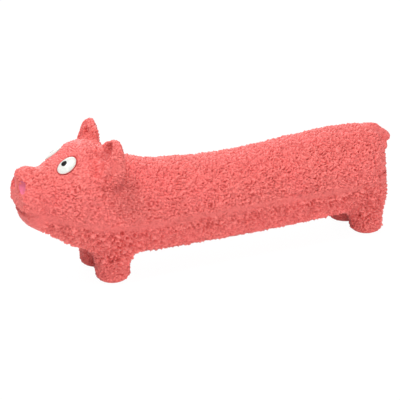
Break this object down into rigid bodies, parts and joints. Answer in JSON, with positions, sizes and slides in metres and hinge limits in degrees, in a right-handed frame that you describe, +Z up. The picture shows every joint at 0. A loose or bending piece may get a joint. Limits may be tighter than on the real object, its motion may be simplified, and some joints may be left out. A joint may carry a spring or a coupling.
{
  "type": "squeaky dog toy",
  "caption": "Long pig-shaped latex dog toy: a hollow fibre-filled skin with cupped ears, painted eyes, stub legs, a curled tail and a reed squeaker in the belly.",
  "frame": {"origin": "on the floor under the middle of the whole toy, at the centre of its bounding box's base", "axes": "+X from the snout to the tail, +Y to the pig's right side, +Z up; the soles stand on Z = 0"},
  "size_m": [0.2136, 0.0536, 0.0764],
  "materials": {
    "latex": "coral-pink natural latex, crinkled all over, with a soft satin sheen",
    "eye_paint": "glossy white paint",
    "pupil_paint": "glossy black paint",
    "nostril_paint": "matte magenta-pink paint",
    "fibre": "white polyester stuffing fibre",
    "squeaker_plastic": "off-white moulded polyethylene",
    "reed_plastic": "thin clear polyester film"
  },
  "bodies": {
    "toy": {"body_skin": "latex", "head_skin": "latex", "leg_front_left": "latex", "leg_front_right": "latex", "leg_rear_left": "latex", "leg_rear_right": "latex", "ear_left": "latex", "ear_right": "latex", "tail": "latex", "eye_left": "eye_paint", "eye_right": "eye_paint", "pupil_left": "pupil_paint", "pupil_right": "pupil_paint", "nostril_paint_left": "nostril_paint", "nostril_paint_right": "nostril_paint", "fibre_filling": "fibre", "squeaker_body": "squeaker_plastic", "reed_trough": "squeaker_plastic", "reed_clamp": "squeaker_plastic", "fibre_guard": "squeaker_plastic"},
    "reed": {"squeaker_reed": "reed_plastic"}
  },
  "joints": [
    {"name": "reed_flex", "type": "hinge", "parent": "toy", "child": "reed", "pos_m": [0.00993, 0, 0.0248], "axis": [0, -1, 0], "range_deg": [-1.5, 4], "stiffness_Nm_per_rad": 0.002}
  ]
}
